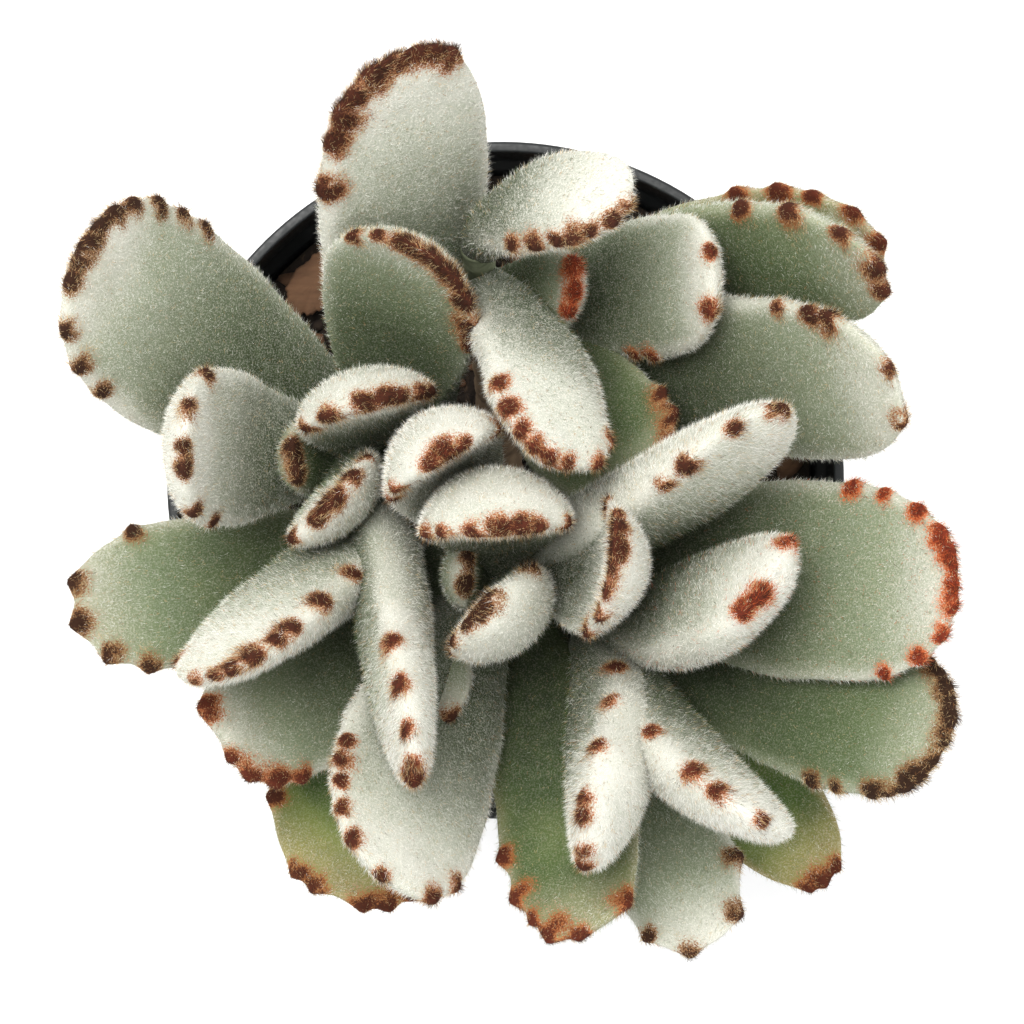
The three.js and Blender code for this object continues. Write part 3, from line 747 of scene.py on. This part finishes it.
def leaf_surface(row, s, angle):
    # s runs from 0 at the foot to 1 at the tip, and the angle runs round the slice.
    shoot, rise, heading, lift, length, width, thick, roll, bow, cup, twist = row[:11]
    h, e, r = np.radians([heading, lift, roll])
    chord = np.array([np.cos(h) * np.cos(e), np.sin(h) * np.cos(e), np.sin(e)])
    level = np.array([-np.sin(h), np.cos(h), 0])
    raised = np.cross(chord, level)
    side = level * np.cos(r) + raised * np.sin(r)
    top = raised * np.cos(r) - level * np.sin(r)
    s, angle = np.broadcast_arrays(s, angle)
    s, angle = s[..., None], angle[..., None]
    spine = shoot_point(shoot, rise) + chord * s * length + top * 4 * bow * s * (1 - s)
    slope = 4 * bow * (1 - 2 * s)
    normal = (-slope * chord + length * top) / np.hypot(slope, length)
    turn = np.radians(twist) * (s - 0.5)
    across = side * np.cos(turn) + normal * np.sin(turn)
    over = normal * np.cos(turn) - side * np.sin(turn)
    half_width = width / 2 * width_share(s)
    half_thick = thick / 2 * thickness_share(s)
    c, d = np.cos(angle), np.sin(angle)
    share = np.where(d > 0, TOP_SHARE, UNDER_SHARE)
    rise_by = half_thick * d * share + cup * width_share(s) * half_width * (c * c - 0.4)
    return spine + across * half_width * c + over * rise_by, spine


print("widest slice at", WIDEST_AT, "of the length")

# %% [markdown]
# A leaf's rows lie closer together at the tip, and its columns closer together at the edges, because that is
# where the teeth are. Even spacing would need many more points. A few slow waves, each about a twentieth of a
# millimetre high, keep the skin from looking moulded.

# %% Leaf grid
STATIONS = 84
AROUND = 72
LAST_STATION = 0.9998
EDGE_CROWDING = 0.22
WAVES = 7
WAVE_HEIGHT = 0.055
WAVE_SPAN = 24


def leaf_spacing():
    lower = np.linspace(0, WIDEST_AT, STATIONS // 2)[:-1]
    upper = WIDEST_AT + (1 - WIDEST_AT) * np.sin(np.linspace(0, np.pi / 2, STATIONS // 2 + 1))
    s = np.clip(np.concatenate([lower, upper]), 0, LAST_STATION)
    angle = np.linspace(0, 2 * np.pi, AROUND, endpoint=False)
    return s, angle - EDGE_CROWDING * np.sin(2 * angle)


def uneven_skin(row, s, angle, local):
    points, spine = leaf_surface(row, s[:, None], angle[None, :])
    length = row[4]
    waves = np.zeros(points.shape[:2])
    for _ in range(WAVES):
        along = local.uniform(0.6, 2.6) * 2 * np.pi * length / WAVE_SPAN
        count = local.integers(0, 4)
        phase = local.uniform(0, 2 * np.pi)
        waves += np.sin(along * s[:, None] + count * angle[None, :] + phase)
    height = WAVE_HEIGHT * waves * smooth_step(0.05, 0.3, s)[:, None]
    return points + unit(points - spine) * height[..., None]


print("points on a leaf", len(leaf_spacing()[0]) * AROUND)

# %% [markdown]
# A tooth is a small blunt bump of the edge, a little towards the upper face. A band is a row of lobes of
# uneven size that run into each other. The lines here find each tooth's place by walking along the edge from
# the tip. They also make a speckle: a smooth random field that breaks up the brown's outline.

# %% Places of the teeth
EDGE_STEPS = 900
TOOTH_TURN = 0.35
LOBE_GAP = 2.4
SPECKLE_RIPPLES = 8


def edge_points(row, spots):
    # Places on the leaf's edge, each given as millimetres from the tip: left edge below zero.
    fine = 1 - np.linspace(1, 0, EDGE_STEPS) ** 2.2
    found, outward, tangent = [], [], []
    for spot in spots:
        angle = TOOTH_TURN if spot < 0 else np.pi - TOOTH_TURN
        line, spine = leaf_surface(row, fine[::-1], np.full(fine.shape, angle))
        reach = np.concatenate([[0], np.cumsum(np.linalg.norm(np.diff(line, axis=0), axis=1))])
        k = min(int(np.searchsorted(reach, abs(spot))), len(fine) - 2)
        inner = leaf_surface(row, np.array([min(fine[::-1][k], 0.8)]), np.array([angle]))[1][0]
        found.append(line[k])
        outward.append(unit(line[k] - inner))
        tangent.append(unit(line[k + 1] - line[max(k - 1, 0)]))
    return np.array(found), np.array(outward), np.array(tangent)


def tooth_spots(name, local):
    spots, sizes = [], []
    for entry in TEETH[name]:
        if isinstance(entry, tuple):
            low, high = entry[:2]
            count = max(2, int(round((high - low) / LOBE_GAP)) + 1)
            spots.extend(np.linspace(low, high, count) + local.uniform(-0.35, 0.35, count))
            sizes.extend(local.uniform(0.8, 1.35, count) * (entry[2] if len(entry) > 2 else 1))
        else:
            spots.append(entry)
            sizes.append(local.uniform(0.75, 1.15))
    return np.array(spots, dtype=float), np.array(sizes)


def speckle(points, local, low_mm, high_mm):
    # A smooth random field around zero, with ripples between the two sizes.
    total = np.zeros(points.shape[:-1])
    for _ in range(SPECKLE_RIPPLES):
        way = unit(local.normal(0, 1, 3)) * 2 * np.pi / local.uniform(low_mm, high_mm)
        total += np.sin(points @ way + local.uniform(0, 2 * np.pi))
    return total / 4


print("lobes of a band are", LOBE_GAP, "mm apart")

# %% [markdown]
# The bumps are pushed out of the leaf's own points, because separate little cones would leave a seam. Where
# two teeth meet, the nearer one wins. The teeth are larger on the old low leaves. How far each point lies
# into a tooth is kept, and the brown comes from it.

# %% Teeth on the edge
TOOTH_HEIGHT = 0.75
TOOTH_LENGTH = 1.3
TOOTH_DEPTH = 1.35
BUMP_LENGTH = 1.25
BUMP_DEPTH = 1.9
LOW_LEAF_LIFT = 38
LOW_LEAF_SIZE = 0.2
LOW_LEAF_HEIGHT = 0.5
SPECKLE_SHARE = 0.45


def add_teeth(name, row, points, local):
    spots, sizes = tooth_spots(name, local)
    low = 1.0 if row[3] < LOW_LEAF_LIFT else 0.0
    sizes = sizes * (1 + LOW_LEAF_SIZE * low)
    centres, outward, tangent = edge_points(row, spots)
    tooth = np.zeros(points.shape[:2])
    push = np.zeros(points.shape)
    most = np.zeros(points.shape[:2])
    for centre, out_way, edge_way, size in zip(centres, outward, tangent, sizes):
        gap = points - centre
        run = gap @ edge_way
        rest = np.linalg.norm(gap - run[..., None] * edge_way, axis=-1)
        patch = np.exp(-(run / (TOOTH_LENGTH * size)) ** 2 - (rest / (TOOTH_DEPTH * size)) ** 2)
        blunt = (np.abs(run) / (BUMP_LENGTH * size)) ** (2 - 0.4 * low)
        bump = np.exp(-blunt - (rest / BUMP_DEPTH) ** 2)
        tooth = np.maximum(tooth, patch) + 0.25 * np.minimum(tooth, patch)
        closer = bump > most
        most = np.where(closer, bump, most)
        out_by = (bump * TOOTH_HEIGHT * size * (1 + LOW_LEAF_HEIGHT * low))[..., None]
        push = np.where(closer[..., None], out_way * out_by, push)
    tooth = tooth * (1 + SPECKLE_SHARE * speckle(points, local, 1.6, 3.4))
    return points + push, tooth


print("tallest tooth about", TOOTH_HEIGHT, "mm")

# %% [markdown]
# Each point of the leaf keeps four numbers for the finish: how far into a tooth it is, how green and shaded
# it is, how pale its felt is, and how near the leaf's edge it lies. The felt is paler on the back. It is made
# whitest near the edge and at the tip, a painted sheen of hairs seen edge-on, and darker over the upper face
# away from the tip, which is painted shade. The green number is the flesh showing through thinner felt, and
# also painted shade that darkens the foot and the upper face. Numbers on the points follow every bend of the
# leaf, which a noise in the finish can't do.

# %% Marks for the finish
EDGE_BAND = 0.14
# Painted sheen: how much paler the felt is made at the edge and the tip.
EDGE_SHEEN_PALER = 0.4
BACK_PALER = 0.12
# Painted shade: how much darker the upper face is made along its middle.
UPPER_FACE_SHADE = 0.22


def leaf_marks(row, s, angle, tooth):
    upper = np.clip(np.sin(angle), 0, 1)[None, :]
    near_edge = np.exp(-((1 - np.abs(np.cos(angle))) / EDGE_BAND) ** 2)[None, :]
    near_tip = smooth_step(0.8, 1.0, s)[:, None]
    rim = np.maximum(near_edge * smooth_step(0.3, 0.75, s)[:, None], near_tip)
    # This mark is the green flesh where the felt is thin, and also painted shade that darkens the foot, on
    # both faces, and the upper face.
    green_and_shade = smooth_step(0.9, 0.4, s)[:, None] * (0.3 + 0.7 * upper) * (1 - 0.7 * near_edge)
    green_and_shade = np.maximum(green_and_shade, 0.85 * smooth_step(0.5, 0.1, s)[:, None])
    back = np.sin(angle)[None, :] < 0
    # Painted shade: the upper face is made darker along its middle, except near the tip.
    upper_face_shade = UPPER_FACE_SHADE * upper * smooth_step(0.95, 0.5, s)[:, None]
    # The edge and the tip are made paler, a painted sheen of hairs seen edge-on.
    pale = row[11] + EDGE_SHEEN_PALER * rim + BACK_PALER * back - upper_face_shade
    grid = tooth.shape
    marks = {"tooth": np.clip(tooth, 0, 1), "green_and_shade": np.broadcast_to(green_and_shade, grid)}
    marks["pale"] = np.clip(np.broadcast_to(pale, grid), 0, 1)
    marks["rim"] = np.broadcast_to(rim, grid)
    return marks


def leaf_grid(name, row, seed):
    local = np.random.default_rng(seed)
    s, angle = leaf_spacing()
    points = uneven_skin(row, s, angle, local)
    points, tooth = add_teeth(name, row, points, local)
    return s, points, leaf_marks(row, s, angle, tooth)


print("marks tooth, green, pale, rim")

# %% [markdown]
# ## The leaf's skin
# Under the hairs the flesh is green. Matted felt makes it grey-green, with a fine fibrous grain, and the
# mat is thinner near the foot, so the green shows there. Over the foot and the upper face a near-black green
# is laid as painted shade. Old leaves turn yellow-green with tan edges, and their greens are kept dark as
# painted shade, since the old leaves lie low. On a tooth the mat goes rust brown, then almost black at its
# core.
# The layers are mixed in that order, each by one of the marks, and one finish serves every leaf.

# %% Skin finish
felt = Finish("leaf_skin")
tooth_mask = felt.value("tooth")
pale_felt = felt.value("pale")
fibre_fine = felt.noise(0.2, 4.0)
fibre_wide = felt.noise(1.6, 4.0)
cloud = felt.noise(9, 3.0)
thin_mat = felt.mix(felt.band(pale_felt, 0.0, 0.4), (0.08, 0.115, 0.045), (0.21, 0.245, 0.16))
mat = felt.mix(felt.band(pale_felt, 0.3, 1.0), thin_mat, (0.52, 0.52, 0.47))
mat = felt.mix(felt.band(cloud, 0.35, 0.7, 0.0, 0.3), mat, (0.16, 0.19, 0.115))
# The green mark, partly green flesh and partly painted shade, broken up by a wide noise.
green_and_shade_mask = felt.math("MULTIPLY", felt.value("green_and_shade"), felt.band(fibre_wide, 0.25, 0.7, 0.75, 1.0))
# Old leaves turn yellow-green; these greens are also kept dark as painted shade on the low old leaves.
aged_and_shaded = felt.mix(felt.band(cloud, 0.3, 0.7), (0.06, 0.11, 0.02), (0.17, 0.22, 0.05))
mat = felt.mix(felt.math("MULTIPLY", felt.value("age"), 0.85), mat, aged_and_shaded)
# Painted shade: a near-black green over the foot and the upper face.
mat = felt.mix(green_and_shade_mask, mat, (0.035, 0.052, 0.02))
dry_edge = felt.math("MULTIPLY", felt.math("MULTIPLY", felt.value("rim"), felt.value("age")), 0.5)
mat = felt.mix(dry_edge, mat, (0.36, 0.24, 0.12))
light_fibres = felt.band(fibre_fine, 0.44, 0.66)
fibre_share = felt.math("MULTIPLY", light_fibres, felt.band(pale_felt, 0.0, 1.0, 0.16, 0.6))
mat = felt.mix(fibre_share, mat, (0.64, 0.635, 0.58))
ragged = felt.math("ADD", tooth_mask, felt.band(fibre_fine, 0.3, 0.7, -0.18, 0.18))
rust = felt.mix(felt.value("warmth"), (0.22, 0.115, 0.045), (0.5, 0.13, 0.03))
core = felt.mix(felt.value("warmth"), (0.02, 0.009, 0.003), (0.15, 0.02, 0.006))
toothed = felt.mix(felt.band(ragged, 0.1, 0.42, 0.0, 0.92), mat, rust)
toothed = felt.mix(felt.band(ragged, 0.3, 0.7, 0.0, 0.96), toothed, core)
felt.bump(fibre_fine, 0.14, 0.75)
leaf_skin = felt.done(toothed, 0.95)
print("finish", leaf_skin.name, "nodes", len(felt.tree.nodes))

# %% [markdown]
# ## The hairs
# The felt is thousands of short stiff hairs, about a millimetre long, that lean towards the leaf's tip.
# Against the light they stand out all along the leaf's outline. Blender's hair system would draw them, but
# it doesn't travel as a mesh. Here each is a thin three-sided spike with one flat colour. Most are white,
# some are grey-green, and those on a tooth are rust, red, gold or dark brown.


# %% Hair colours
def hair_finish(name, colour):
    return Finish(name).done((*colour, 1), 0.8)


HAIRS = [
    hair_finish("hair_white", (0.8, 0.795, 0.745)),
    hair_finish("hair_grey", (0.52, 0.54, 0.46)),
    hair_finish("hair_sage", (0.28, 0.33, 0.21)),
    # Dark green hairs: painted shade at the foot and on the upper face.
    hair_finish("hair_shade_green", (0.075, 0.112, 0.04)),
    hair_finish("hair_rust", (0.33, 0.16, 0.06)),
    hair_finish("hair_dark", (0.045, 0.017, 0.006)),
    hair_finish("hair_gold", (0.6, 0.45, 0.25)),
    hair_finish("hair_red", (0.54, 0.12, 0.03)),
]
WHITE, GREY, SAGE, SHADE_GREEN, RUST, DARK, GOLD, RED = range(8)
print("hair colours", len(HAIRS))

# %% [markdown]
# First each hair gets its place. Picking cells of the leaf's grid by their area spreads the hairs evenly.
# They stand closer on the teeth, and there are few at the foot and on old worn leaves.

# %% Where the hairs stand
HAIRS_PER_MM2 = 12
TOOTH_THICKER = 1.4
GREEN_THINNER = 0.4


def hair_roots(row, s, points, marks, local):
    across = np.roll(points, -1, axis=1)[:-1] - points[:-1]
    along = points[1:] - points[:-1]
    area_ways = np.cross(across, along)
    area = np.linalg.norm(area_ways, axis=-1)
    bare = 0.9 * row[12] * (1 - 0.6 * marks["rim"][:-1])
    want = area * (1 + TOOTH_THICKER * marks["tooth"][:-1]) * (1 - GREEN_THINNER * marks["green_and_shade"][:-1])
    want = want * smooth_step(0.05, 0.16, s[:-1])[:, None] * (1 - bare)
    count = int(want.sum() * HAIRS_PER_MM2)
    cells = local.choice(want.size, count, p=(want / want.sum()).ravel())
    i, j = np.unravel_index(cells, want.shape)
    n = (j + 1) % points.shape[1]
    u, v = local.uniform(0, 1, (2, count, 1))
    low = points[i, j] * (1 - u) + points[i, n] * u
    high = points[i + 1, j] * (1 - u) + points[i + 1, n] * u
    root = low * (1 - v) + high * v
    out = unit(area_ways[i, j])
    centre = points.mean(axis=1)
    flip = np.sign(np.sum(out * (root - centre[i]), axis=-1, keepdims=True))
    out = out * np.where(flip == 0, 1, flip)
    return i, j, root, out, unit(along[i, j])


print("hairs to a square millimetre", HAIRS_PER_MM2)

# %% [markdown]
# Then each hair gets its shape. It leans towards the tip by its own angle, stands straighter on a tooth, and
# is shorter there on the low leaves. Its foot is sunk a little, so no gap shows.

# %% Hair shapes
HAIR_WIDTH = 0.025
HAIR_LENGTH = (0.6, 1.15)
LEAN = (30, 76)
TOOTH_STRAIGHTER = 20
UNRULY = 0.26
SUNK = 0.06
LONGER_ON_TOOTH = 0.35


def hair_shapes(row, root, out, tipward, brown, local):
    count = len(root)
    lean = np.radians(local.uniform(*LEAN, (count, 1)) - TOOTH_STRAIGHTER * brown[:, None])
    way = unit(out * np.cos(lean) + tipward * np.sin(lean) + local.normal(0, UNRULY, (count, 3)))
    longer = -LONGER_ON_TOOTH if row[3] < LOW_LEAF_LIFT else LONGER_ON_TOOTH
    length = local.uniform(*HAIR_LENGTH, (count, 1)) * (1 + longer * brown[:, None])
    side = unit(np.cross(way, local.normal(0, 1, (count, 3))))
    third = np.cross(way, side)
    sunk = root - out * SUNK
    corners = []
    for k in range(3):
        turn = 2 * np.pi * k / 3
        corners.append(sunk + HAIR_WIDTH * (side * np.cos(turn) + third * np.sin(turn)))
    shape = np.stack([*corners, sunk + way * length], axis=1).reshape(-1, 3)
    start = (np.arange(count) * 4)[:, None, None]
    faces = (start + np.array([[0, 1, 3], [1, 2, 3], [2, 0, 3]])).reshape(-1, 3)
    return shape, faces


print("hair length in mm", HAIR_LENGTH)

# %% [markdown]
# Last, each hair gets its colour by chance, weighed by the marks where it stands. Off the teeth it is white,
# grey, sage or a dark green; the dark green hairs follow the green mark and are painted shade at the foot and
# on the upper face. A tooth has a golden and rusty fringe, a halo, round a dark heart. Tufts of like hairs,
# made by the speckle, look more natural than an even mix. The warmth of a leaf turns its brown to red.

# %% Hair colouring
FRINGE, HALO, HEART, CORE = 0.12, 0.32, 0.66, 0.95
RED_FROM = 0.7


def hair_kinds(row, i, j, root, marks, local):
    count = len(root)
    brown = marks["tooth"][i, j]
    warmth = row[13]
    roll = local.uniform(0, 1, count)
    pale = marks["pale"][i, j]
    white = 0.92 * pale ** 1.4
    grey = (0.15 + 0.5 * pale) * (1 - white)
    kind = np.where(roll < white, WHITE, np.where(roll < white + grey, GREY, SAGE))
    # Painted shade: where the green mark is strong, hairs turn dark green.
    kind = np.where(local.uniform(0, 1, count) < 0.85 * marks["green_and_shade"][i, j] ** 1.2, SHADE_GREEN, kind)
    tuft = speckle(root, local, 0.7, 1.8)
    edge = brown + 0.16 * tuft + local.normal(0, 0.13, count)
    warm_hair = RED if warmth > RED_FROM else RUST
    halo = np.where(local.uniform(0, 1, count) < 0.75, warm_hair, DARK)
    halo = np.where(local.uniform(0, 1, count) < 0.62 - 0.3 * warmth + 0.25 * tuft, GOLD, halo)
    heart = np.where(local.uniform(0, 1, count) < 0.04 + 0.75 * warmth ** 1.5, warm_hair, DARK)
    heart = np.where(local.uniform(0, 1, count) < 0.1 - 0.25 * tuft, GOLD, heart)
    kind = np.where((edge > FRINGE) & (local.uniform(0, 1, count) < 0.45), halo, kind)
    kind = np.where(edge > HALO, halo, kind)
    kind = np.where(edge > HEART, heart, kind)
    return np.where((edge > CORE) & (local.uniform(0, 1, count) < 0.7), DARK, kind)


def grow_hairs(row, s, points, marks, seed):
    local = np.random.default_rng(seed)
    i, j, root, out, tipward = hair_roots(row, s, points, marks, local)
    shape, faces = hair_shapes(row, root, out, tipward, marks["tooth"][i, j], local)
    return shape, faces, np.repeat(hair_kinds(row, i, j, root, marks, local), 3)


print("a tooth's halo begins at", HALO, "and its heart at", HEART)

# %% [markdown]
# Every leaf is one closed body and one mesh of hairs, so that either can be hidden or changed alone. The
# body gets a flat map of its own: round the leaf is left to right, and foot to tip is bottom to top. A smart
# unwrap would cut the leaf into scraps.

# %% Make every leaf
MAP_EDGE = 0.02
MAP_HEIGHT = 0.96
BODY_SEED = 100
HAIR_SEED = 300


def leaf_map(rows, columns):
    cell_i, cell_j = np.divmod(np.arange((rows - 1) * columns), columns)
    left, right = cell_j / columns, (cell_j + 1) / columns
    below = MAP_EDGE + MAP_HEIGHT * cell_i / (rows - 1)
    above = MAP_EDGE + MAP_HEIGHT * (cell_i + 1) / (rows - 1)
    cells = np.stack([left, below, right, below, right, above, left, above], -1).reshape(-1, 2)
    j = np.arange(columns)
    left, middle, right = j / columns, (j + 0.5) / columns, (j + 1) / columns
    low, high = np.full(columns, MAP_EDGE), np.full(columns, 1 - MAP_EDGE)
    foot = np.stack([middle, np.zeros(columns), right, low, left, low], -1).reshape(-1, 2)
    tip = np.stack([middle, np.ones(columns), left, high, right, high], -1).reshape(-1, 2)
    return np.vstack([cells, foot, tip])


def leaf_body(name, row, points, marks):
    rows, columns = marks["tooth"].shape
    shape = np.vstack([points.reshape(-1, 3), [points[0].mean(axis=0), points[-1].mean(axis=0)]])
    foot_fan = cap_fan(rows * columns, 0, columns, underside=True)
    tip_fan = cap_fan(rows * columns + 1, (rows - 1) * columns, columns)
    values = {}
    for key, mark in marks.items():
        values[key] = np.append(mark.ravel(), [mark[0].mean(), mark[-1].mean()])
    values["age"] = np.full(len(shape), row[12])
    values["warmth"] = np.full(len(shape), row[13])
    faces = [ring_quads(rows, columns), foot_fan, tip_fan]
    return make_mesh(name, shape, faces, None, values, leaf_map(rows, columns))


hair_total = 0
for k, (name, row) in enumerate(LEAVES.items()):
    s, points, marks = leaf_grid(name, row, BODY_SEED + k)
    add_piece(name + "_body", leaf_body(name, row, points, marks), [leaf_skin], [name])
    hair_shape, hair_faces, kinds = grow_hairs(row, s, points, marks, HAIR_SEED + k)
    hairs = make_mesh(name + "_hairs", hair_shape, [hair_faces], kinds)
    add_piece(name + "_hairs", hairs, HAIRS)
    hair_total += len(kinds) // 3
print("hairs", hair_total)

# %% [markdown]
# ## Table and light
# The plant stands on a plain pale table. A sky would do for a garden, but indoors the table only has to
# catch a soft shadow, so it is one large flat face, and its pale grey throws some light back up.

# %% Table
TABLE_HALF = 3000
TABLE_PALE = (0.86, 0.86, 0.86, 1)
table_white = Finish("table").done(TABLE_PALE, 0.9)
corners = np.array([[-1, -1, 0], [1, -1, 0], [1, 1, 0], [-1, 1, 0]]) * TABLE_HALF
floor_mesh = make_mesh("table", corners, [np.array([[0, 1, 2, 3]])])
floor = bpy.data.objects.new("table", floor_mesh)
floor_mesh.materials.append(table_white)
bpy.context.scene.collection.objects.link(floor)
print("table", 2 * TABLE_HALF, "mm across")

# %% [markdown]
# One big soft lamp stands behind, a weaker one fills from the front, and a bright room does the rest. A
# small hard lamp would draw sharp shadows. This way shadows are soft, and the gaps between the leaves stay
# dark. The exposure and the gamma deepen the darks of the felt a little.

# %% Lamps
ROOM_WHITE = (1, 1, 1, 1)
ROOM_STRENGTH = 1.0
EXPOSURE = 0.3
GAMMA = 0.85


def soft_lamp(name, place, size, power, colour):
    data = bpy.data.lights.new(name, "AREA")
    data.shape = "DISK"
    data.size = size
    data.energy = power
    data.color = colour
    lamp = bpy.data.objects.new(name, data)
    lamp.location = place
    lamp.rotation_mode = "QUATERNION"
    lamp.rotation_quaternion = (-Vector(place)).to_track_quat("-Z", "Y")
    bpy.context.scene.collection.objects.link(lamp)


soft_lamp("key", place=(-0.2, 0.28, 1.0), size=0.6, power=8.0, colour=(1.0, 0.99, 0.97))
soft_lamp("fill", place=(0.6, -0.4, 0.9), size=0.9, power=1.5, colour=(0.97, 0.98, 1.0))
world = bpy.data.worlds.new("room")
world.use_nodes = True
sky = world.node_tree.nodes["Background"]
sky.inputs["Color"].default_value = ROOM_WHITE
sky.inputs["Strength"].default_value = ROOM_STRENGTH
bpy.context.scene.world = world
bpy.context.scene.view_settings.view_transform = "Standard"
bpy.context.scene.view_settings.exposure = EXPOSURE
bpy.context.scene.view_settings.gamma = GAMMA
print("lamps 2, room strength", ROOM_STRENGTH)
